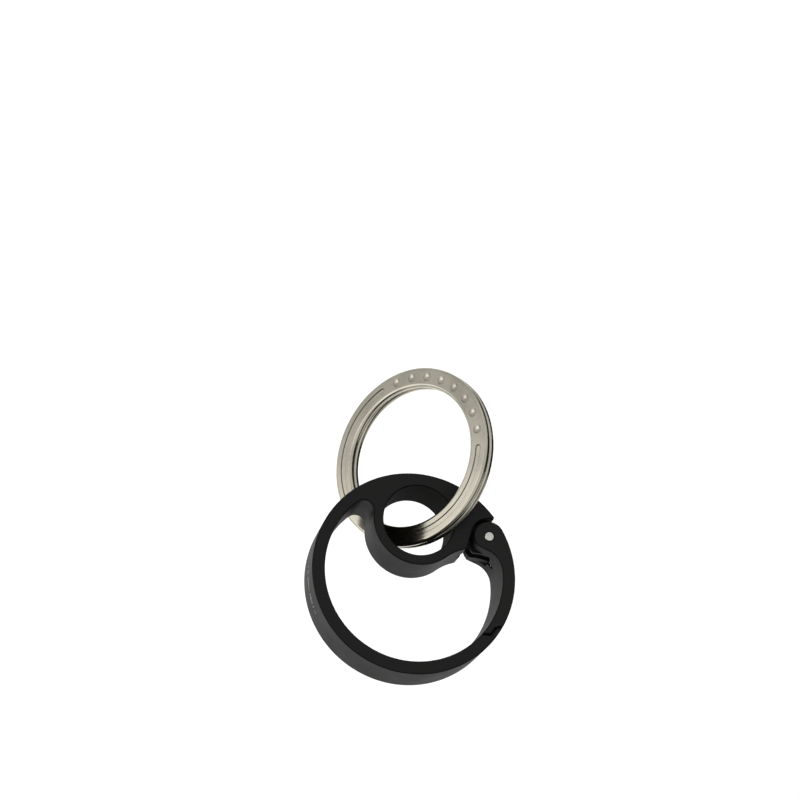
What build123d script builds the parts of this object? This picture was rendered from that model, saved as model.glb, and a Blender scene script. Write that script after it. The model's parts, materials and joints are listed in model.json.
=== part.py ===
"""Carabiner keyring: a round spring-gate carabiner with a split key ring through its eye.

Origin: on the axis of the round body, half way through its thickness.
+Z comes out of the front face, +Y points to the eye side, +X to the hinge side. Millimetres.
"""

import os
from math import acos, asin, atan2, cos, degrees, hypot, pi, radians, sin, sqrt

from build123d import *

# ---- driving dimensions: body ------------------------------------------------------------
BODY_DIAMETER = 40.0          # outside of the round body
THICKNESS = 10.0              # front face to back face
RIM_WALL = 2.5                # radial width of the plain rim
EYE_DIAMETER = 14.1           # hole that carries the key ring
EYE_ANGLE = 82.9              # direction of the eye from the body's axis
EYE_WALL = 2.45               # between the eye and the outside
BOSS_WALL = 1.95              # round the eye, towards the main opening
POCKET_RADIUS = 2.0           # end of the main opening, between rim and boss
SWEEP_RADIUS = 10.0           # hollow curve from the boss to the shoulder
SWEEP_ANGLE = -54.7           # where that curve leaves the boss
SHOULDER_RADIUS = 0.9         # round corner beside the hinge
FLANK_ANGLE = 162.0           # round the pin, where the shoulder's flank meets the recess
CROWN_ANGLE = 73.0            # round the pin, where the recess ends at the outside
EDGE_BREAK = 0.18             # chamfer along the faces' edges

# ---- driving dimensions: gate and hinge ---------------------------------------------------
PIN_ANGLE = 25.9              # direction of the hinge pin from the body's axis
PIN_DIAMETER = 1.8
PIN_CHAMFER = 0.06
PIN_CLEARANCE = 0.04          # radial, gate cheeks on the pin
MOUTH_GAP = 0.19              # radial, wider mouth of the cheek holes
MOUTH_DEPTH = 0.5
KNUCKLE_RADIUS = 3.05         # round end of the gate about the pin
KNUCKLE_GAP = 0.6             # knuckle to the body's recess
FRONT_CHEEK = 3.0             # fork wall next to the front face
BACK_CHEEK = 2.0              # fork wall next to the back face
FORK_RADIUS = 3.9             # reach of the fork's slot about the pin
CHEEK_GAP = 0.1               # fork wall to the lug, each side
THROAT_RADIUS = 4.5           # gate's inner curve below the knuckle
THROAT_LEAD = 0.5             # straight run's room between the nose and that curve
NOSE_ANGLE = 220.4            # round the pin, where the knuckle turns into the throat

# ---- driving dimensions: latch ------------------------------------------------------------
LATCH_ANGLE = -31.6           # outer end of the gate
STEP_START = -35.2            # lap between the gate's toe and the body's lip
STEP_END = -39.8
TOE_ANGLE = -43.2             # inner end of the gate
STEP_DEPTH = 1.22             # from the outside to the gate's side of the lap
LATCH_GAP = 0.12              # outer cut
STEP_GAP = 0.25               # lap and inner cut
TOE_RADIUS = 0.3

# ---- driving dimensions: lug and spring ---------------------------------------------------
LUG_RADIUS = 2.4
LUG_ANGLE = 118.0             # direction of the lug's neck from the pin
LUG_GAP = 0.2                 # lug's lower side to the web of the gate's fork
LUG_END = 1.2                 # lug's lower side past the pin, towards the gate
SPRING_SLOT = 2.5             # width of the slot in the lug, along the pin
SPRING_LEVEL = 0.05           # middle of that slot in front of the body's middle
SLOT_REACH = 5.3              # slot past the pin, towards the eye
SLOT_ROOF = 1.0               # top of the slot's mouth below the pin
SPRING_CHAMBER = 2.0          # radius of the slot about the pin
WIRE_DIAMETER = 0.4
COIL_RADIUS = 1.25            # middle of the wire
COIL_PITCH = 0.5
COIL_TURNS = 3
GATE_LEG_ANGLE = -84.0        # direction of the leg that pushes the gate
GATE_LEG = 4.5
BODY_LEG = 2.6
LEG_CLEARANCE = 0.06

# ---- driving dimensions: key ring ---------------------------------------------------------
RING_DIAMETER = 36.8
RING_BORE = 28.7
RING_TURN = 1.42              # thickness of one turn of the wire
TURN_GAP = 0.06               # between the two turns
RING_ROUND = 0.6              # round corners of the wire
RING_GAP = 0.12               # ring to the wall of the eye, where it leans on it
RING_DROP = 1.9               # middle of the wire below the middle of the eye
RING_SLIDE = 0.5              # ring's middle beside the eye's, along the ring
CROSSOVER_START = 207.0       # round the ring, where the wire steps to its second turn
CROSSOVER_SPAN = 26.0
END_GAP = 0.25                # wire's ends to the stepping wire
CHANNEL_WIDTH = 1.15          # long groove in the ring's face, between its sloping sides
CHANNEL_DEPTH = 0.17
CHANNEL_START = 111.0
CHANNEL_END = 353.0
DIMPLE_COUNT = 8              # round dimples on the rest of the face
DIMPLE_RADIUS = 0.9
DIMPLE_DEPTH = 0.22

# ---- sizes that follow --------------------------------------------------------------------
OUTER = BODY_DIAMETER / 2
INNER = OUTER - RIM_WALL
HALF = THICKNESS / 2
EYE_RADIUS = EYE_DIAMETER / 2
BOSS_RADIUS = EYE_RADIUS + BOSS_WALL
RECESS_RADIUS = KNUCKLE_RADIUS + KNUCKLE_GAP
SLOT_LOW = BACK_CHEEK - HALF
SLOT_HIGH = HALF - FRONT_CHEEK
SLOT_MIDDLE = (SLOT_LOW + SLOT_HIGH) / 2
LUG_HEIGHT = SLOT_HIGH - SLOT_LOW - 2 * CHEEK_GAP
PIN_RADIUS = PIN_DIAMETER / 2
WIRE_RADIUS = WIRE_DIAMETER / 2
RING_OUTER = RING_DIAMETER / 2
RING_INNER = RING_BORE / 2
RING_MIDDLE = (RING_OUTER + RING_INNER) / 2
RING_WIDTH = RING_OUTER - RING_INNER
RING_THICKNESS = 2 * RING_TURN + TURN_GAP


# ---- plane geometry -----------------------------------------------------------------------
def polar(radius, angle, centre=(0.0, 0.0)):
    """Point at a radius and an angle in degrees about a centre."""
    return (centre[0] + radius * cos(radians(angle)), centre[1] + radius * sin(radians(angle)))


def bearing(start, end):
    """Direction in degrees from one point to another."""
    return degrees(atan2(end[1] - start[1], end[0] - start[0]))


def distance(start, end):
    """Length between two points."""
    return hypot(end[0] - start[0], end[1] - start[1])


def meet(centre_a, radius_a, centre_b, radius_b):
    """Crossing of two circles on the left of the line from a to b."""
    span = distance(centre_a, centre_b)
    opening = acos((radius_a**2 + span**2 - radius_b**2) / (2 * radius_a * span))
    return polar(radius_a, bearing(centre_a, centre_b) + degrees(opening), centre_a)


def reach(start, angle, radius, centre=(0.0, 0.0)):
    """Furthest point on a ray from start at a radius about a centre."""
    along = (cos(radians(angle)), sin(radians(angle)))
    offset = (start[0] - centre[0], start[1] - centre[1])
    half_b = offset[0] * along[0] + offset[1] * along[1]
    rest = offset[0] ** 2 + offset[1] ** 2 - radius**2
    length = -half_b + sqrt(half_b**2 - rest)
    return (start[0] + length * along[0], start[1] + length * along[1])


def turn(centre, radius, start, end):
    """Arc about a centre between two points, counter-clockwise from the first one."""
    first = bearing(centre, start)
    sweep = (bearing(centre, end) - first) % 360
    return CenterArc(centre, radius, first, sweep)


EYE = polar(OUTER - EYE_WALL - EYE_RADIUS, EYE_ANGLE)
PIN = polar(OUTER - KNUCKLE_RADIUS, PIN_ANGLE)
POCKET = meet((0.0, 0.0), INNER - POCKET_RADIUS, EYE, BOSS_RADIUS + POCKET_RADIUS)
SWEEP = polar(BOSS_RADIUS + SWEEP_RADIUS, SWEEP_ANGLE, EYE)
NOSE = polar(KNUCKLE_RADIUS, NOSE_ANGLE, PIN)
THROAT = meet(NOSE, THROAT_RADIUS + THROAT_LEAD, (0.0, 0.0), INNER - THROAT_RADIUS)


def slab(face, low, high):
    """Upright solid from a flat face, between two heights."""
    return Pos(0, 0, low) * extrude(face, high - low)


def break_edges(solid, size):
    """Chamfers the edges that lie in the front and back faces."""
    rims = [e for e in solid.edges() if abs(abs(e.center().Z) - HALF) < 0.001]
    flat = [e for e in rims if e.bounding_box().size.Z < 0.001]
    return chamfer(flat, size)


# ---- carabiner body -----------------------------------------------------------------------
def latch_points(radial_gap, outer_gap, inner_gap):
    """Parting line of the latch from the outside to the inside, moved by the given gaps."""
    step = OUTER - STEP_DEPTH
    outer_turn = degrees(outer_gap / OUTER)
    inner_turn = degrees(inner_gap / step)
    return [
        polar(OUTER, LATCH_ANGLE - outer_turn),
        polar(step + radial_gap, STEP_START - outer_turn),
        polar(step + radial_gap, STEP_END - inner_turn),
        polar(INNER, TOE_ANGLE - inner_turn),
    ]


def shoulder_points():
    """Round corner between the sweep and the flank: on the sweep, centre, on the flank."""
    flank_top = polar(RECESS_RADIUS, FLANK_ANGLE, PIN)
    inset = polar(SHOULDER_RADIUS, FLANK_ANGLE, flank_top)
    far = reach(inset, FLANK_ANGLE + 90, SWEEP_RADIUS + SHOULDER_RADIUS, SWEEP)
    down = distance(inset, far)
    back = reach(far, FLANK_ANGLE - 90, SWEEP_RADIUS + SHOULDER_RADIUS, SWEEP)
    centre = back if distance(inset, back) < down else far
    return polar(SWEEP_RADIUS, bearing(SWEEP, centre), SWEEP), centre


def body_face():
    """Front view of the body, without the eye."""
    pocket_rim = polar(INNER, bearing((0, 0), POCKET))
    pocket_boss = polar(BOSS_RADIUS, bearing(EYE, POCKET), EYE)
    sweep_start = polar(BOSS_RADIUS, SWEEP_ANGLE, EYE)
    sweep_end, corner = shoulder_points()
    flank_low = polar(SHOULDER_RADIUS, FLANK_ANGLE + 180, corner)
    flank_top = polar(RECESS_RADIUS, FLANK_ANGLE, PIN)
    crown = polar(RECESS_RADIUS, CROWN_ANGLE, PIN)
    crown_top = reach(PIN, CROWN_ANGLE, OUTER)
    lip = latch_points(STEP_GAP, LATCH_GAP, STEP_GAP)
    edges = [
        turn((0, 0), OUTER, crown_top, lip[0]),
        Line(lip[0], lip[1]),
        Line(lip[1], lip[2]),
        Line(lip[2], lip[3]),
        turn((0, 0), INNER, pocket_rim, lip[3]),
        turn(POCKET, POCKET_RADIUS, pocket_boss, pocket_rim),
        turn(EYE, BOSS_RADIUS, pocket_boss, sweep_start),
        turn(SWEEP, SWEEP_RADIUS, sweep_end, sweep_start),
        turn(corner, SHOULDER_RADIUS, sweep_end, flank_low),
        Line(flank_low, flank_top),
        turn(PIN, RECESS_RADIUS, crown, flank_top),
        Line(crown, crown_top),
    ]
    return make_face(edges)


def lug():
    """Tongue that carries the hinge pin, between the gate's cheeks."""
    neck_length = RECESS_RADIUS + RIM_WALL / 2
    neck = Pos(*polar(neck_length / 2, LUG_ANGLE, PIN)) * Rot(0, 0, LUG_ANGLE)
    outline = Pos(*PIN) * Circle(LUG_RADIUS) + neck * Rectangle(neck_length, 2 * LUG_RADIUS)
    outline += lug_underside()
    return slab(outline, SLOT_MIDDLE - LUG_HEIGHT / 2, SLOT_MIDDLE + LUG_HEIGHT / 2)


def lug_underside():
    """Lower side of the lug, which carries the sweep's curve on towards the gate."""
    reach_down = FORK_RADIUS - LUG_GAP
    width = reach_down + LUG_END
    middle = Pos(PIN[0] + LUG_END - width / 2, PIN[1] - reach_down / 2)
    below = middle * Rectangle(width, reach_down)
    return (Pos(*PIN) * Circle(reach_down) & below) - Pos(*SWEEP) * Circle(SWEEP_RADIUS)


def spring_chamber():
    """Room for the coil and for the leg that is held in the body."""
    start = polar(COIL_RADIUS, LUG_ANGLE - 90, PIN)
    leg_room = BODY_LEG + 2 * WIRE_DIAMETER
    place = Pos(*polar(leg_room / 2, LUG_ANGLE, start)) * Rot(0, 0, LUG_ANGLE)
    down = Pos(PIN[0], PIN[1] - SPRING_CHAMBER) * Rectangle(2 * SPRING_CHAMBER, 2 * SPRING_CHAMBER)
    outline = Pos(*PIN) * Circle(SPRING_CHAMBER) + down + slot_mouth()
    outline += place * Rectangle(leg_room, 2 * WIRE_DIAMETER)
    return slab(outline, SPRING_LEVEL - SPRING_SLOT / 2, SPRING_LEVEL + SPRING_SLOT / 2)


def slot_mouth():
    """Opening of the spring's slot in the wall of the main opening."""
    width = SLOT_REACH + SPRING_CHAMBER
    height = FORK_RADIUS - SLOT_ROOF
    middle = Pos(PIN[0] + SPRING_CHAMBER - width / 2, PIN[1] - SLOT_ROOF - height / 2)
    return middle * Rectangle(width, height)


def carabiner_body():
    """Round body with its eye, and the slotted lug for the hinge."""
    shell = slab(body_face() - Pos(*EYE) * Circle(EYE_RADIUS), -HALF, HALF)
    shell = break_edges(shell, EDGE_BREAK)
    solid = shell + lug() - spring_chamber()
    return solid - Pos(*PIN, 0) * Cylinder(PIN_RADIUS, THICKNESS)


# ---- gate ---------------------------------------------------------------------------------
def gate_face():
    """Front view of the gate."""
    lean = degrees(asin(THROAT_RADIUS / distance(NOSE, THROAT)))
    touch = polar(THROAT_RADIUS, bearing(NOSE, THROAT) + lean + 90, THROAT)
    knuckle_start = polar(OUTER, PIN_ANGLE)
    throat_end = polar(INNER, bearing((0.0, 0.0), THROAT))
    toe = latch_points(0.0, 0.0, 0.0)
    edges = [
        turn((0, 0), OUTER, toe[0], knuckle_start),
        turn(PIN, KNUCKLE_RADIUS, knuckle_start, NOSE),
        Line(NOSE, touch),
        turn(THROAT, THROAT_RADIUS, throat_end, touch),
        turn((0, 0), INNER, toe[3], throat_end),
        Line(toe[3], toe[2]),
        Line(toe[2], toe[1]),
        Line(toe[1], toe[0]),
    ]
    face = make_face(edges)
    ends = [v for v in face.vertices() if distance((v.X, v.Y), toe[2]) < 0.001]
    return fillet(ends, TOE_RADIUS)


def gate_leg_line():
    """Start and end of the spring's leg that pushes the gate, in the front view."""
    start = polar(COIL_RADIUS, GATE_LEG_ANGLE + 90, PIN)
    return start, polar(GATE_LEG, GATE_LEG_ANGLE, start)


def leg_notch():
    """Notch inside the gate where the spring's leg bears."""
    start, end = gate_leg_line()
    deep = WIRE_RADIUS + LEG_CLEARANCE
    middle = polar(GATE_LEG / 2 + deep, GATE_LEG_ANGLE, start)
    place = Pos(*middle) * Rot(0, 0, GATE_LEG_ANGLE)
    room = Rectangle(GATE_LEG + 2 * deep, FORK_RADIUS, align=(Align.CENTER, Align.MAX))
    low = coil_base() - COIL_PITCH - WIRE_RADIUS
    return slab(place * Pos(0, deep) * room, low, low + COIL_PITCH + WIRE_DIAMETER + WIRE_RADIUS)


def gate():
    """Spring gate: forked knuckle, curved arm and stepped toe."""
    solid = break_edges(slab(gate_face(), -HALF, HALF), EDGE_BREAK)
    solid -= slab(Pos(*PIN) * Circle(FORK_RADIUS), SLOT_LOW, SLOT_HIGH)
    solid -= Pos(*PIN, 0) * Cylinder(PIN_RADIUS + PIN_CLEARANCE, THICKNESS)
    for side in (1, -1):
        solid -= Pos(*PIN, side * HALF) * Cylinder(PIN_RADIUS + MOUTH_GAP, 2 * MOUTH_DEPTH)
    return solid - leg_notch()


# ---- hinge pin and spring -----------------------------------------------------------------
def hinge_pin():
    """Straight pin, as long as the body is thick."""
    pin = Cylinder(PIN_RADIUS, THICKNESS)
    return Pos(*PIN, 0) * chamfer(pin.edges().filter_by(GeomType.CIRCLE), PIN_CHAMFER)


def coil_turns():
    """Turns of the coil between its two legs."""
    return COIL_TURNS + (LUG_ANGLE - 90 - (GATE_LEG_ANGLE + 90)) / 360


def coil_base():
    """Height where the coil starts, so that it stands in the middle of its slot."""
    return SPRING_LEVEL - COIL_PITCH * coil_turns() / 2


def gate_spring():
    """Torsion spring round the pin, with one leg in the body and one in the gate."""
    coil = Helix(COIL_PITCH, COIL_PITCH * coil_turns(), COIL_RADIUS)
    coil = Pos(*PIN, coil_base()) * Rot(0, 0, GATE_LEG_ANGLE + 90) * coil
    gate_leg = Line(coil @ 0 - (coil % 0) * GATE_LEG, coil @ 0)
    body_leg = Line(coil @ 1, coil @ 1 + (coil % 1) * BODY_LEG)
    path = Wire([gate_leg, coil.edge(), body_leg])
    section = Plane(origin=path @ 0, z_dir=path % 0) * Circle(WIRE_RADIUS)
    return sweep(section, path, is_frenet=True)


# ---- key ring -----------------------------------------------------------------------------
def wire_corners():
    """Points on the round corners of the ring's section, as radius and height."""
    points = []
    for edge, inward in ((RING_INNER, 1), (RING_OUTER, -1)):
        for side in (-1, 1):
            for step in range(0, 91, 15):
                radius = edge + inward * RING_ROUND * (1 - cos(radians(step)))
                height = RING_THICKNESS / 2 - RING_ROUND * (1 - sin(radians(step)))
                points.append((radius, side * height))
    return points


def ring_gap(lean):
    """Least distance from a leaning ring to the wall of the eye and its chamfered edges."""
    across = (cos(radians(lean)), sin(radians(lean)))
    facing = (-across[1], across[0])
    centre = RING_MIDDLE - RING_DROP
    least = EYE_RADIUS
    for radius, height in wire_corners():
        for step in range(-120, 121):
            along = RING_SLIDE + radius * sin(radians(step / 2))
            x = along * across[0] + height * facing[0]
            z = along * across[1] + height * facing[1]
            y = centre - radius * cos(radians(step / 2))
            if abs(z) <= HALF:
                wall = EYE_RADIUS + max(0, abs(z) - HALF + EDGE_BREAK)
                least = min(least, wall - hypot(x, y))
    return least


def ring_lean():
    """Angle between the ring and the body's face when the ring rests on the eye's wall."""
    shallow, steep = 0.0, 90.0
    for _ in range(40):
        middle = (shallow + steep) / 2
        if ring_gap(middle) > RING_GAP:
            steep = middle
        else:
            shallow = middle
    return steep


def wire_section(angle, height):
    """Flat wire with round corners, cut across at an angle round the ring."""
    out = Vector(cos(radians(angle)), sin(radians(angle)), 0)
    along = Vector(-out.Y, out.X, 0)
    place = Plane(origin=out * RING_MIDDLE + Vector(0, 0, height), x_dir=out, z_dir=along)
    return place * RectangleRounded(RING_WIDTH, RING_TURN, RING_ROUND)


def flat_turn(start, span, height):
    """One flat turn of the wire."""
    return revolve(wire_section(start, height), Axis.Z, span)


def crossover(start, low, high):
    """Stretch where the wire steps from one turn to the next."""
    sections = []
    steps = 6
    for step in range(steps + 1):
        share = step / steps
        rise = (1 - cos(pi * share)) / 2
        sections.append(wire_section(start + CROSSOVER_SPAN * share, low + (high - low) * rise))
    return loft(sections)


def key_ring_flat():
    """Split ring of two turns about the Z axis, its decorated face upwards."""
    level = (RING_TURN + TURN_GAP) / 2
    trim = degrees(END_GAP / RING_MIDDLE)
    end = CROSSOVER_START + CROSSOVER_SPAN
    upper = flat_turn(end + trim, 360 - CROSSOVER_SPAN - trim, level)
    lower = flat_turn(end, 360 - CROSSOVER_SPAN - trim, -level)
    ring = upper + crossover(CROSSOVER_START, level, -level) + lower
    ring -= channel()
    return ring - dimples()


def channel():
    """Long groove with sloping sides and round ends in the upper face."""
    low = RING_THICKNESS / 2 - CHANNEL_DEPTH
    high = RING_THICKNESS / 2 + CHANNEL_DEPTH
    narrow = CHANNEL_WIDTH / 2 - CHANNEL_DEPTH
    wide = CHANNEL_WIDTH / 2 + CHANNEL_DEPTH
    corners = [
        (RING_MIDDLE - narrow, 0, low),
        (RING_MIDDLE + narrow, 0, low),
        (RING_MIDDLE + wide, 0, high),
        (RING_MIDDLE - wide, 0, high),
    ]
    section = Rot(0, 0, CHANNEL_START) * make_face(Polyline(*corners, close=True))
    cutters = [revolve(section, Axis.Z, CHANNEL_END - CHANNEL_START)]
    for angle in (CHANNEL_START, CHANNEL_END):
        place = Pos(*polar(RING_MIDDLE, angle), (low + high) / 2)
        cutters.append(place * Cone(narrow, wide, high - low))
    return cutters


def dimples():
    """Row of round dimples on the stretch that the groove leaves free."""
    top = RING_THICKNESS / 2
    free = CHANNEL_START + 360 - CHANNEL_END
    pitch = free / (DIMPLE_COUNT + 1)
    ball = (DIMPLE_RADIUS**2 + DIMPLE_DEPTH**2) / (2 * DIMPLE_DEPTH)
    row = []
    for index in range(DIMPLE_COUNT):
        place = polar(RING_MIDDLE, CHANNEL_END - 360 + pitch * (index + 1))
        row.append(Pos(*place, top - DIMPLE_DEPTH + ball) * Sphere(ball))
    return row


def key_ring():
    """Split ring through the eye, leaning on its wall."""
    height = EYE[1] + RING_MIDDLE - RING_DROP
    lean = Pos(EYE[0], height, 0) * Rot(0, -ring_lean(), 0)
    return lean * Pos(RING_SLIDE, 0, 0) * key_ring_flat()


def main():
    """Builds every piece and writes one file for each."""
    os.makedirs("parts", exist_ok=True)
    pieces = {
        "carabiner_body": carabiner_body,
        "gate": gate,
        "hinge_pin": hinge_pin,
        "gate_spring": gate_spring,
        "key_ring": key_ring,
    }
    for name, make in pieces.items():
        export_step(make(), f"parts/{name}.step")


main()
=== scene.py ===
"""Carabiner keyring: the finishes of its parts and its set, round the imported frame."""

import json
import math

import bpy
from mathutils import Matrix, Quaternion, Vector


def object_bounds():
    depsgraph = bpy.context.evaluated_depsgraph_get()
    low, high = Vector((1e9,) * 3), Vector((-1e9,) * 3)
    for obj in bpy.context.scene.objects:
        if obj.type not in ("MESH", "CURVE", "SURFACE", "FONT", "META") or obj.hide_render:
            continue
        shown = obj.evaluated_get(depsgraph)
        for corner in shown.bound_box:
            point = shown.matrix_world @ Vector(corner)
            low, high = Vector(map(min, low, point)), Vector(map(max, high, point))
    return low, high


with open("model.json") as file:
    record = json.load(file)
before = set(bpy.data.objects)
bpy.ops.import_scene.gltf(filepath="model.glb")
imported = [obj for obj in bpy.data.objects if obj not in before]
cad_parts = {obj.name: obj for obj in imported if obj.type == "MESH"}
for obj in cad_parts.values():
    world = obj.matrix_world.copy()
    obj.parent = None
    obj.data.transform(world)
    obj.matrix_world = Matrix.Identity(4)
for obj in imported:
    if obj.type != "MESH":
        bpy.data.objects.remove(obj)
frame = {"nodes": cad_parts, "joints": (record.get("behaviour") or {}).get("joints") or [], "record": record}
CAD_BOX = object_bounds()

bl_info = {
    "name": "Carabiner keyring",
    "version": (1, 0, 0),
    "blender": (4, 5, 0),
    "location": "View3D > Sidebar > Keyring",
    "description": "Finishes a round carabiner, its gate and its split ring, and lights them",
    "category": "Object",
}

MM = 0.001
JOINTS = {joint["name"]: joint for joint in frame["joints"]}
MOUNTS = {mount["name"]: mount for mount in frame["record"]["mounts"]}
RING_BORE = MOUNTS["key_ring_bore"]
RIM_RADIUS = -CAD_BOX[0].x
EYE_RADIUS = 7.05 * MM
RING_MIDDLE = 16.375 * MM
RING_MARK_WIDTH = 2.2 * MM
STROKE_PITCH = 0.42 * MM
STROKE_HEIGHT = 0.42 * MM
STROKE_COUNT = 24
STROKE_START = math.radians(174.0)
STROKE_FILL = 0.72
FLOOR_SIDE = 60.0
FLAG_TOWARDS = Vector((0.90, 0.40, -0.16)).normalized()
FLOOR_LIGHT_PLACE = Vector((-0.02, 0.28, -0.12))
FLOOR_LIGHT_SIZE = 0.9
CAMERA_NEAR = 10.0 * MM
ETCHED = (0.5, 0.5, 0.48, 1.0)
# Painted shade for the sloping sides of the ring's groove and sunk marks.
PAINTED_GROOVE_SHADE = (0.10, 0.092, 0.075, 1.0)
CLOTH = (0.004, 0.004, 0.004, 1.0)


# ---------------------------------------------------------------- shader maths


class Socket:
    """A shader socket that can be used in sums: each sum adds the Math node that works it out."""

    def __init__(self, tree, socket):
        self.tree = tree
        self.socket = socket

    def math(self, operation, *others):
        sockets = dict(enumerate((self, *others)))
        return self.tree.node("ShaderNodeMath", {"operation": operation}, sockets)

    def outlet(self, name):
        return Socket(self.tree, self.socket.node.outputs[name])

    def __add__(self, other):
        return self.math("ADD", other)

    def __sub__(self, other):
        return self.math("SUBTRACT", other)

    def __mul__(self, other):
        return self.math("MULTIPLY", other)

    def __truediv__(self, other):
        return self.math("DIVIDE", other)

    def __gt__(self, other):
        return self.math("GREATER_THAN", other)

    def __lt__(self, other):
        return self.math("LESS_THAN", other)

    def __rsub__(self, other):
        return self.tree.node("ShaderNodeMath", {"operation": "SUBTRACT"}, {0: other, 1: self})

    __radd__ = __add__
    __rmul__ = __mul__


class Finish:
    """A material or world and its nodes. node() adds a node of any type and returns its socket."""

    def __init__(self, name, store="materials"):
        self.owner = getattr(bpy.data, store).new(name)
        self.owner.use_nodes = True
        self.tree = self.owner.node_tree
        self.tree.nodes.clear()

    def node(self, kind, settings, sockets, outlet=0):
        made = self.tree.nodes.new(kind)
        for name, value in settings.items():
            if name == "stops":
                self.set_stops(made.color_ramp, value)
            else:
                setattr(made, name, value)
        for name, value in sockets.items():
            if isinstance(value, Socket):
                self.tree.links.new(value.socket, made.inputs[name])
            else:
                made.inputs[name].default_value = value
        return Socket(self, made.outputs[outlet]) if made.outputs else None

    @staticmethod
    def set_stops(ramp, stops):
        while len(ramp.elements) < len(stops):
            ramp.elements.new(1.0)
        for element, (position, colour) in zip(ramp.elements, stops):
            element.position = position
            element.color = colour

    def place(self, centre=(0, 0, 0), turn=(0, 0, 0)):
        """Object coordinates, measured from a centre and turned back by the piece's own lean."""
        point = self.node("ShaderNodeTexCoord", {}, {}, "Object")
        moved = self.node(
            "ShaderNodeVectorMath", {"operation": "SUBTRACT"}, {0: point, 1: centre}
        )
        return self.node(
            "ShaderNodeVectorRotate",
            {"rotation_type": "EULER_XYZ", "invert": True},
            {"Vector": moved, "Rotation": turn},
        )

    def axes(self, vector):
        split = self.node("ShaderNodeSeparateXYZ", {}, {"Vector": vector})
        return split, split.outlet("Y"), split.outlet("Z")

    def vector(self, x, y, z):
        return self.node("ShaderNodeCombineXYZ", {}, {"X": x, "Y": y, "Z": z})

    def noise(self, place, scale, detail=2.0, roughness=0.5):
        return self.node(
            "ShaderNodeTexNoise",
            {"noise_dimensions": "3D"},
            {"Vector": place, "Scale": scale, "Detail": detail, "Roughness": roughness},
        )

    def smooth(self, value, low, high, start=0.0, end=1.0):
        return self.node(
            "ShaderNodeMapRange",
            {"interpolation_type": "SMOOTHSTEP"},
            {"Value": value, "From Min": low, "From Max": high, "To Min": start, "To Max": end},
        )

    def mix(self, factor, first, second):
        return self.node(
            "ShaderNodeMix",
            {"data_type": "RGBA"},
            {0: factor, 6: first, 7: second},
            2,
        )

    def bump(self, height, depth, strength=1.0):
        return self.node(
            "ShaderNodeBump", {}, {"Height": height, "Distance": depth, "Strength": strength}
        )

    def surface(self, sockets):
        shader = self.node("ShaderNodeBsdfPrincipled", {}, sockets)
        self.node("ShaderNodeOutputMaterial", {}, {"Surface": shader})
        return self.owner


def upright(finish):
    """1 on an upright wall, 0 on a flat face, and between on the chamfer that joins them."""
    normal = finish.node("ShaderNodeNewGeometry", {}, {}, "Normal")
    rise = finish.axes(normal)[2]
    return 1.0 - rise * rise


# ---------------------------------------------------------------- finishes


def around(finish, centre, start=0.0):
    """Distance from an upright axis, the angle round it from a start, and the height along it."""
    x, y, height = finish.axes(finish.place(centre, (0.0, 0.0, start)))
    return (x * x + y * y).math("SQRT"), y.math("ARCTAN2", x), height


def anodised(name, colour, roughness, bore=None, marks=None):
    """Bead-blasted, black anodised aluminium: painted shade darkens its edge chamfers, and it is matt in its
    bore.
    """
    finish = Finish(name)
    place = finish.place()
    grain = finish.noise(place, 9000.0, 3.0, 0.6)
    cloud = finish.noise(place, 160.0, 3.0, 0.55)
    scuff = finish.noise(place, 620.0, 4.0, 0.65)
    wall = upright(finish)
    corner = finish.smooth(wall * (1.0 - wall) * 4.0, 0.55, 0.95)
    rubbed = corner * finish.smooth(scuff, 0.58, 0.76)
    tone = finish.smooth(cloud, 0.3, 0.7)
    dark = tuple(0.8 * channel for channel in colour[:3]) + (1.0,)
    bare = tuple(channel + 0.05 for channel in colour[:3]) + (1.0,)
    # Painted shade: the edge chamfers are darkened to a fraction of the colour, standing in for the dark
    # they reflect.
    painted_edge_shade = tuple(0.15 * channel for channel in colour[:3]) + (1.0,)
    shade = finish.mix(corner * 0.9, finish.mix(tone, dark, tuple(colour)), painted_edge_shade)
    wear = finish.mix(rubbed * 0.35, shade, bare)
    gloss = finish.smooth(cloud, 0.25, 0.75, roughness - 0.035, roughness + 0.035)
    gloss = gloss - rubbed * 0.06 + (grain - 0.5) * 0.06 + wall * 0.14 + corner * 0.2
    if bore:
        centre, radius = bore
        off_axis = around(finish, centre)[0]
        matt = finish.smooth(off_axis, radius + 0.05 * MM, radius + 0.3 * MM, 1.0, 0.0)
        gloss = gloss * (1.0 - matt) + matt * 0.95
    if marks:
        etched = marks(finish) * finish.smooth(scuff, 0.3, 0.55, 0.5, 1.0)
        wear = finish.mix(etched, wear, ETCHED)
        gloss = gloss + etched * 0.2
    return finish.surface({
        "Base Color": wear,
        "Roughness": gloss,
        "Specular IOR Level": 0.22,
        "Normal": finish.bump(grain, 0.006 * MM, 0.5),
    })


def sunken(finish, radius, lean):
    """1 on the sloping sides of the marks sunk in the ring's face, along the middle of its band: where shade
    is painted.
    """
    normal = finish.node("ShaderNodeNewGeometry", {}, {}, "Normal")
    facing = (math.sin(lean), 0.0, math.cos(lean))
    square = finish.node(
        "ShaderNodeVectorMath", {"operation": "DOT_PRODUCT"}, {0: normal, 1: facing}, "Value"
    )
    sloping = finish.smooth(square.math("ABSOLUTE"), 0.86, 0.99, 1.0, 0.0)
    return sloping * ((radius - RING_MIDDLE).math("ABSOLUTE") < RING_MARK_WIDTH / 2)


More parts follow.
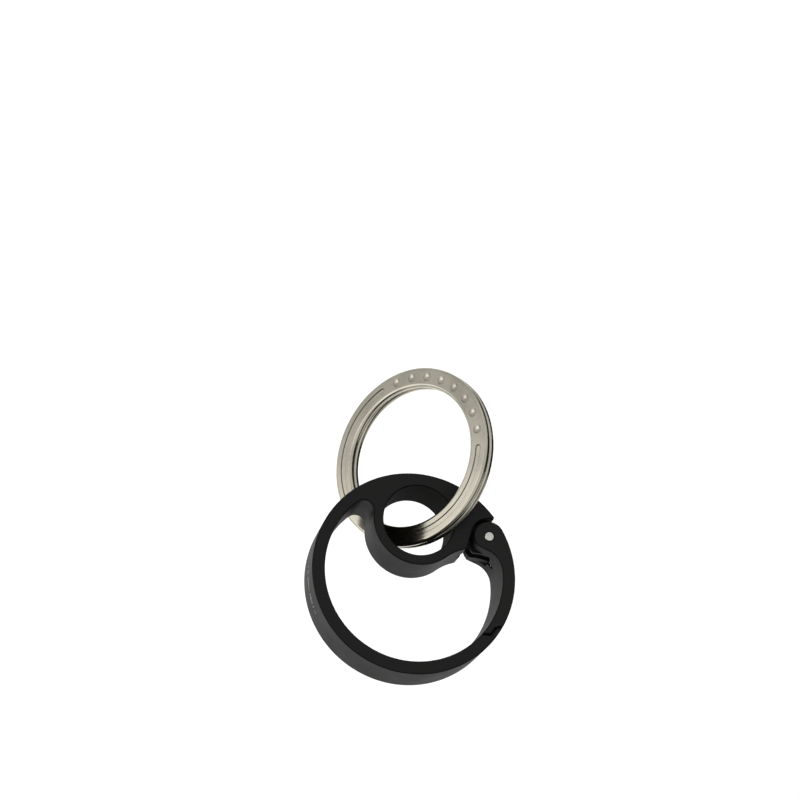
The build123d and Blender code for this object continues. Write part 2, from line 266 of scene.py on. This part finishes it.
def plated(name, colour, roughness, centre, lean):
    """Nickel plate over drawn wire: fine lines run round the ring, with small rubbed marks and painted shade
    on the sides of its groove and sunk marks.
    """
    finish = Finish(name)
    place = finish.place(centre, (0.0, lean, 0.0))
    x, y, z = finish.axes(place)
    radius = (x * x + y * y).math("SQRT")
    lines = finish.noise(finish.vector(radius * 14.0, z * 14.0, y * 0.15), 1000.0, 2.0)
    cloud = finish.noise(place, 210.0, 3.0)
    marks = finish.noise(place, 2400.0, 4.0, 0.7)
    worn = finish.smooth(marks, 0.6, 0.75)
    dull = tuple(0.82 * channel for channel in colour[:3]) + (1.0,)
    shade = finish.mix(finish.smooth(cloud, 0.3, 0.7), dull, tuple(colour))
    # Painted shade: the sloping sides of the groove and the sunk marks are darkened, standing in for the
    # dark they reflect.
    groove_shade = sunken(finish, radius, lean)
    shade = finish.mix(groove_shade * 0.85, shade, PAINTED_GROOVE_SHADE)
    return finish.surface({
        "Base Color": shade,
        "Metallic": 1.0,
        "Roughness": roughness + lines * 0.05 + worn * 0.04 + groove_shade * 0.15,
        "Normal": finish.bump(lines + worn * 0.5, 0.0015 * MM, 0.5),
    })


def turned_steel(name, colour, roughness, centre):
    """Bright pin stock, faced on a lathe: rings of fine turning marks round the pin's axis."""
    finish = Finish(name)
    place = finish.place(centre)
    x, y, z = finish.axes(place)
    radius = (x * x + y * y).math("SQRT")
    rings = finish.noise(finish.vector(radius * 20.0, z * 6.0, 0.0), 1000.0, 1.0)
    cloud = finish.noise(place, 900.0, 3.0)
    dull = tuple(0.8 * channel for channel in colour[:3]) + (1.0,)
    return finish.surface({
        "Base Color": finish.mix(finish.smooth(cloud, 0.35, 0.65), dull, tuple(colour)),
        "Metallic": 1.0,
        "Roughness": roughness + rings * 0.12,
        "Normal": finish.bump(rings, 0.002 * MM, 0.5),
    })


def studio_room(name, ceiling, pale_wall, dim_wall):
    """Even light of a studio: pale overhead, behind and on the left, dim in front and right."""
    room = Finish(name, "worlds")
    towards = room.node("ShaderNodeTexCoord", {}, {}, "Generated")
    across, along, height = room.axes(towards)
    dim_side = across * 0.6 - along * 0.8
    walls = room.smooth(dim_side, -0.35, 0.35, pale_wall, dim_wall)
    overhead = room.smooth(height, 0.4, 0.75)
    strength = walls * (1.0 - overhead) + overhead * ceiling
    shader = room.node("ShaderNodeBackground", {}, {"Strength": strength})
    room.node("ShaderNodeOutputWorld", {}, {"Surface": shader})
    return room.owner


def floor_paper(name, colour):
    """Matt studio paper with a very faint tooth."""
    finish = Finish(name)
    tooth = finish.noise(finish.place(), 900.0, 3.0)
    low = tuple(0.985 * channel for channel in colour[:3]) + (1.0,)
    return finish.surface({
        "Base Color": finish.mix(tooth, low, tuple(colour)),
        "Roughness": 0.9,
        "Specular IOR Level": 0.1,
        "Normal": finish.bump(tooth, 0.02 * MM, 0.2),
    })


# ---------------------------------------------------------------- what a user may change


class KEYRING_PG_finish(bpy.types.PropertyGroup):
    """Colours and gloss of the keyring's parts."""

    body_colour: bpy.props.FloatVectorProperty(
        name="Body colour",
        description="Black of the anodised carabiner",
        subtype="COLOR",
        size=4,
        min=0.0,
        max=1.0,
        default=(0.0088, 0.0085, 0.0079, 1.0),
    )
    body_roughness: bpy.props.FloatProperty(
        name="Body roughness",
        description="0 is polished and 1 is matt",
        subtype="FACTOR",
        min=0.0,
        max=1.0,
        default=0.42,
    )
    gate_colour: bpy.props.FloatVectorProperty(
        name="Gate colour",
        description="Black of the gate, a shade lighter than the body",
        subtype="COLOR",
        size=4,
        min=0.0,
        max=1.0,
        default=(0.0125, 0.0121, 0.0113, 1.0),
    )
    gate_roughness: bpy.props.FloatProperty(
        name="Gate roughness",
        description="0 is polished and 1 is matt",
        subtype="FACTOR",
        min=0.0,
        max=1.0,
        default=0.46,
    )
    ring_colour: bpy.props.FloatVectorProperty(
        name="Ring colour",
        description="Warm grey of the nickel plate",
        subtype="COLOR",
        size=4,
        min=0.0,
        max=1.0,
        default=(0.69, 0.65, 0.54, 1.0),
    )
    ring_roughness: bpy.props.FloatProperty(
        name="Ring roughness",
        description="0 is a mirror and 1 is matt",
        subtype="FACTOR",
        min=0.0,
        max=1.0,
        default=0.16,
    )
    pin_colour: bpy.props.FloatVectorProperty(
        name="Pin colour",
        description="Bright steel of the hinge pin",
        subtype="COLOR",
        size=4,
        min=0.0,
        max=1.0,
        default=(0.82, 0.80, 0.74, 1.0),
    )
    pin_roughness: bpy.props.FloatProperty(
        name="Pin roughness",
        description="0 is a mirror and 1 is matt",
        subtype="FACTOR",
        min=0.0,
        max=1.0,
        default=0.22,
    )


class KEYRING_PG_stage(bpy.types.PropertyGroup):
    """The set: camera, floor and lights."""

    azimuth: bpy.props.FloatProperty(
        name="Camera azimuth",
        description="Turn of the camera round the keyring",
        subtype="ANGLE",
        default=math.radians(-29.69),
    )
    elevation: bpy.props.FloatProperty(
        name="Camera elevation",
        description="Height of the camera above the horizon, as an angle",
        subtype="ANGLE",
        default=math.radians(65.78),
    )
    roll: bpy.props.FloatProperty(
        name="Camera roll",
        description="Turn of the camera about its own line of sight",
        subtype="ANGLE",
        default=math.radians(29.69),
    )
    distance: bpy.props.FloatProperty(
        name="Camera distance",
        description="From the camera to the point it looks at",
        subtype="DISTANCE",
        unit="LENGTH",
        default=358.5 * MM,
    )
    lens: bpy.props.FloatProperty(
        name="Lens",
        description="Focal length",
        subtype="DISTANCE_CAMERA",
        default=81.0,
    )
    aim: bpy.props.FloatVectorProperty(
        name="Look at",
        description="Point that the camera looks at, above the eye",
        subtype="XYZ",
        unit="LENGTH",
        default=(-1.56 * MM, 35.29 * MM, 5.0 * MM),
    )
    floor_gap: bpy.props.FloatProperty(
        name="Floor gap",
        description="Air between the keyring's lowest point and the floor",
        subtype="DISTANCE",
        unit="LENGTH",
        default=350.0 * MM,
    )
    floor_colour: bpy.props.FloatVectorProperty(
        name="Floor colour",
        description="Pale studio paper",
        subtype="COLOR",
        size=4,
        min=0.0,
        max=1.0,
        default=(0.93, 0.93, 0.925, 1.0),
    )
    flag_side: bpy.props.FloatProperty(
        name="Black card",
        description="Side of the black card on the right",
        subtype="DISTANCE",
        unit="LENGTH",
        default=150.0 * MM,
    )
    flag_distance: bpy.props.FloatProperty(
        name="Black card distance",
        description="From the keyring's middle to the black card",
        subtype="DISTANCE",
        unit="LENGTH",
        default=130.0 * MM,
    )
    ceiling_light: bpy.props.FloatProperty(
        name="Ceiling light",
        description="Strength of the even light from overhead",
        min=0.0,
        default=0.85,
    )
    pale_wall: bpy.props.FloatProperty(
        name="Pale wall",
        description="Strength of the even light from the left",
        min=0.0,
        default=0.6,
    )
    dim_wall: bpy.props.FloatProperty(
        name="Dim wall",
        description="Strength of the even light from the right",
        min=0.0,
        default=0.06,
    )
    floor_light: bpy.props.FloatProperty(
        name="Floor light",
        description="Power of the light that whitens the floor, in watts",
        min=0.0,
        default=2.2,
    )


# ---------------------------------------------------------------- operators


def coat(name, material):
    """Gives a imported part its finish."""
    part = frame["nodes"][name]
    if not part.material_slots:
        raise RuntimeError(f"{name} has no material slot")
    for slot in part.material_slots:
        slot.material = material


def rim_strokes(finish):
    """Line of fine laser-marked strokes along the outside of the rim, half way through it."""
    off_axis, angle, height = around(finish, (0.0, 0.0, 0.0), STROKE_START)
    along = angle * RIM_RADIUS / STROKE_PITCH
    chance = finish.node(
        "ShaderNodeTexWhiteNoise", {"noise_dimensions": "1D"}, {"W": along.math("FLOOR")}
    )
    tall = height.math("ABSOLUTE") < chance * STROKE_HEIGHT
    inked = (along.math("FRACT") < STROKE_FILL) * (chance > 0.25) * tall
    stretch = (along > 0.0) * (along < STROKE_COUNT)
    return inked * stretch * (off_axis > RIM_RADIUS - 0.1 * MM)


class KEYRING_OT_body(bpy.types.Operator):
    """Finish the carabiner body in black anodising"""

    bl_idname = "keyring.body"
    bl_label = "Carabiner body"

    def execute(self, context):
        look = context.scene.keyring_finish
        eye = (*JOINTS["ring_swing"]["pos_m"][:2], 0.0)
        coat("carabiner_body", anodised(
            "body_black",
            look.body_colour,
            look.body_roughness,
            bore=(eye, EYE_RADIUS),
            marks=rim_strokes,
        ))
        return {"FINISHED"}


class KEYRING_OT_gate(bpy.types.Operator):
    """Finish the gate in black anodising, a shade lighter than the body"""

    bl_idname = "keyring.gate"
    bl_label = "Gate"

    def execute(self, context):
        look = context.scene.keyring_finish
        coat("gate", anodised("gate_black", look.gate_colour, look.gate_roughness))
        return {"FINISHED"}


class KEYRING_OT_hinge(bpy.types.Operator):
    """Finish the hinge pin and the torsion spring on it"""

    bl_idname = "keyring.hinge"
    bl_label = "Hinge pin and spring"

    def execute(self, context):
        look = context.scene.keyring_finish
        axis = tuple(JOINTS["gate_hinge"]["pos_m"])
        coat("hinge_pin", turned_steel("pin_steel", look.pin_colour, look.pin_roughness, axis))
        coat("gate_spring", turned_steel("spring_wire", look.pin_colour, look.pin_roughness, axis))
        return {"FINISHED"}


class KEYRING_OT_ring(bpy.types.Operator):
    """Finish the split ring in nickel plate"""

    bl_idname = "keyring.ring"
    bl_label = "Split ring"

    def execute(self, context):
        look = context.scene.keyring_finish
        centre = tuple(RING_BORE["pos_m"])
        lean = math.atan2(RING_BORE["axis"][0], RING_BORE["axis"][2])
        coat("key_ring", plated("ring_nickel", look.ring_colour, look.ring_roughness, centre, lean))
        return {"FINISHED"}


def soft_box(name, azimuth, elevation, distance, width, height, power, aim):
    """A square studio light that looks at the keyring and isn't seen itself."""
    turn, rise = math.radians(azimuth), math.radians(elevation)
    away = Vector((
        math.sin(turn) * math.cos(rise),
        -math.cos(turn) * math.cos(rise),
        math.sin(rise),
    ))
    bpy.ops.object.light_add(type="AREA", location=aim + away * distance)
    light = bpy.context.object
    light.name = name
    light.rotation_mode = "QUATERNION"
    light.rotation_quaternion = away.to_track_quat("Z", "Y")
    light.data.shape = "RECTANGLE"
    light.data.size = width
    light.data.size_y = height
    light.data.energy = power
    light.visible_camera = False


class KEYRING_OT_stage(bpy.types.Operator):
    """Lay the floor, set the lights and place the camera"""

    bl_idname = "keyring.stage"
    bl_label = "Floor, lights and camera"

    def execute(self, context):
        stage = context.scene.keyring_stage
        self.lay_floor(stage)
        self.hang_flag(stage)
        self.light(context, stage)
        self.place_camera(context, stage)
        return {"FINISHED"}

    @staticmethod
    def lay_floor(stage):
        bpy.ops.object.select_all(action="DESELECT")
        level = CAD_BOX[0].z - stage.floor_gap
        bpy.ops.mesh.primitive_plane_add(size=FLOOR_SIDE, location=(0.0, 0.0, level))
        floor = bpy.context.object
        floor.name = "studio_floor"
        bpy.ops.object.transform_apply(location=True, rotation=True, scale=True)
        floor.data.materials.append(floor_paper("floor_paper", stage.floor_colour))

    @staticmethod
    def hang_flag(stage):
        """Black card beside the keyring, out of sight, that gives the metal a dark side."""
        bpy.ops.object.select_all(action="DESELECT")
        middle = (CAD_BOX[0] + CAD_BOX[1]) / 2
        bpy.ops.mesh.primitive_plane_add(
            size=stage.flag_side,
            location=middle + FLAG_TOWARDS * stage.flag_distance,
            rotation=FLAG_TOWARDS.to_track_quat("Z", "Y").to_euler(),
        )
        flag = bpy.context.object
        flag.name = "black_flag"
        bpy.ops.object.transform_apply(location=True, rotation=True, scale=True)
        cloth = Finish("flag_cloth").surface({"Base Color": CLOTH, "Roughness": 1.0})
        flag.data.materials.append(cloth)
        flag.visible_camera = False

    @staticmethod
    def light(context, stage):
        context.scene.world = studio_room(
            "studio_room", stage.ceiling_light, stage.pale_wall, stage.dim_wall
        )
        middle = (CAD_BOX[0] + CAD_BOX[1]) / 2
        soft_box("left_panel", -80.0, 14.0, 0.45, 0.5, 0.35, 0.4, middle)
        bpy.ops.object.light_add(type="AREA", location=middle + FLOOR_LIGHT_PLACE)
        light = bpy.context.object
        light.name = "floor_light"
        light.data.size = FLOOR_LIGHT_SIZE
        light.data.energy = stage.floor_light
        light.visible_camera = False

    @staticmethod
    def place_camera(context, stage):
        turn, rise = stage.azimuth, stage.elevation
        away = Vector((
            math.sin(turn) * math.cos(rise),
            -math.cos(turn) * math.cos(rise),
            math.sin(rise),
        ))
        bpy.ops.object.camera_add(location=Vector(stage.aim) + away * stage.distance)
        camera = bpy.context.object
        camera.name = "studio_camera"
        camera.rotation_mode = "QUATERNION"
        roll = Quaternion((0.0, 0.0, 1.0), stage.roll)
        camera.rotation_quaternion = away.to_track_quat("Z", "Y") @ roll
        camera.data.lens = stage.lens
        camera.data.clip_start = CAMERA_NEAR
        context.scene.camera = camera
        context.scene.view_settings.view_transform = "Standard"


# ---------------------------------------------------------------- panel and registration


class KEYRING_PT_build(bpy.types.Panel):
    """Lists the keyring's parts and settings"""

    bl_idname = "KEYRING_PT_build"
    bl_label = "Carabiner keyring"
    bl_space_type = "VIEW_3D"
    bl_region_type = "UI"
    bl_category = "Keyring"

    def draw(self, context):
        for group in (context.scene.keyring_finish, context.scene.keyring_stage):
            box = self.layout.box()
            for name in group.__annotations__:
                box.prop(group, name)
        for operator in OPERATORS:
            self.layout.operator(operator.bl_idname)


GROUPS = {"keyring_finish": KEYRING_PG_finish, "keyring_stage": KEYRING_PG_stage}
OPERATORS = (
    KEYRING_OT_body,
    KEYRING_OT_gate,
    KEYRING_OT_hinge,
    KEYRING_OT_ring,
    KEYRING_OT_stage,
)


def register():
    for part in (*GROUPS.values(), *OPERATORS, KEYRING_PT_build):
        bpy.utils.register_class(part)
    for name, group in GROUPS.items():
        setattr(bpy.types.Scene, name, bpy.props.PointerProperty(type=group))


def unregister():
    for name in GROUPS:
        delattr(bpy.types.Scene, name)
    for part in (KEYRING_PT_build, *reversed(OPERATORS), *reversed(GROUPS.values())):
        bpy.utils.unregister_class(part)


def main():
    register()
    bpy.ops.keyring.body()
    bpy.ops.keyring.gate()
    bpy.ops.keyring.hinge()
    bpy.ops.keyring.ring()
    bpy.ops.keyring.stage()


if __name__ == "__main__":
    main()
